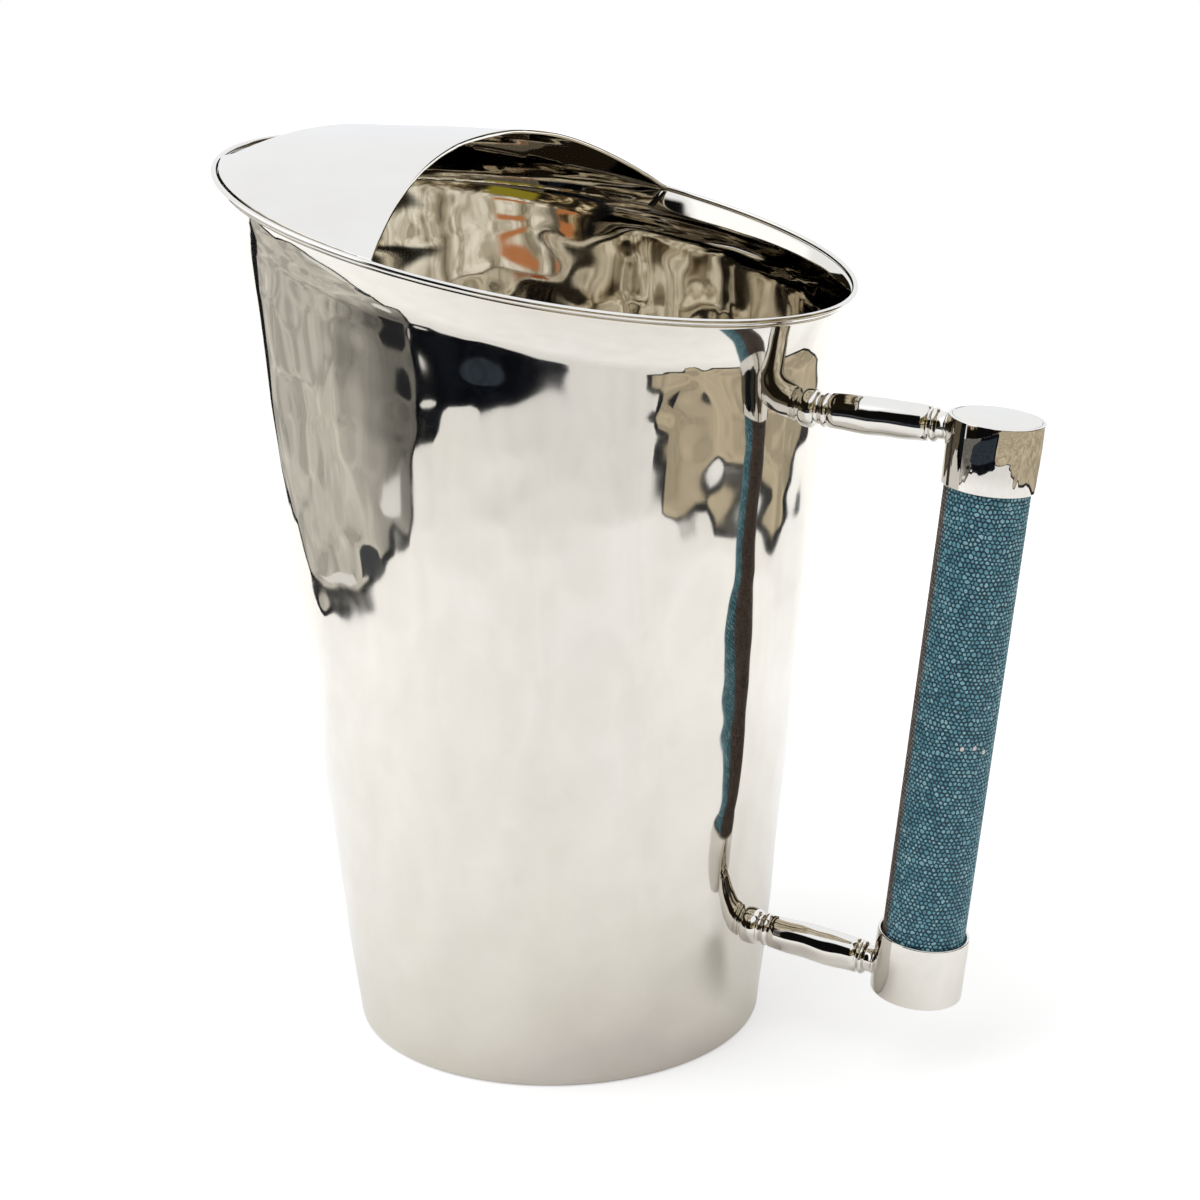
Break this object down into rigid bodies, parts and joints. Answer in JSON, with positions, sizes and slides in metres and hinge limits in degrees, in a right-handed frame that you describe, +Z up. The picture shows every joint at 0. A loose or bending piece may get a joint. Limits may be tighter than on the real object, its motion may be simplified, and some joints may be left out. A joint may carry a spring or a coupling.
{
  "type": "water pitcher",
  "caption": "Tapered metal water pitcher with a sloping flared mouth, a domed ice guard over the spout and a rolled grip held out on turned arms.",
  "frame": {"origin": "centre of the base's flat underside", "axes": "+Z up, +X towards the handle, -X towards the spout, Y across the pitcher"},
  "size_m": [0.205, 0.1548, 0.2251],
  "materials": {
    "hammered_metal": "hammered white metal, polished bright",
    "polished_metal": "smooth white metal, mirror polished",
    "dowel_wood": "plain turned hardwood",
    "shagreen": "pebbled ray skin, dyed blue and polished"
  },
  "bodies": {
    "root": {"body_wall": "hammered_metal", "base_plate": "hammered_metal", "rim_wire": "polished_metal", "ice_guard": "polished_metal", "upper_arm": "polished_metal", "lower_arm": "polished_metal", "upper_ferrule": "polished_metal", "upper_cap": "polished_metal", "lower_ferrule": "polished_metal", "lower_cap": "polished_metal", "grip_core": "dowel_wood", "shagreen_sleeve": "shagreen"}
  },
  "joints": []
}
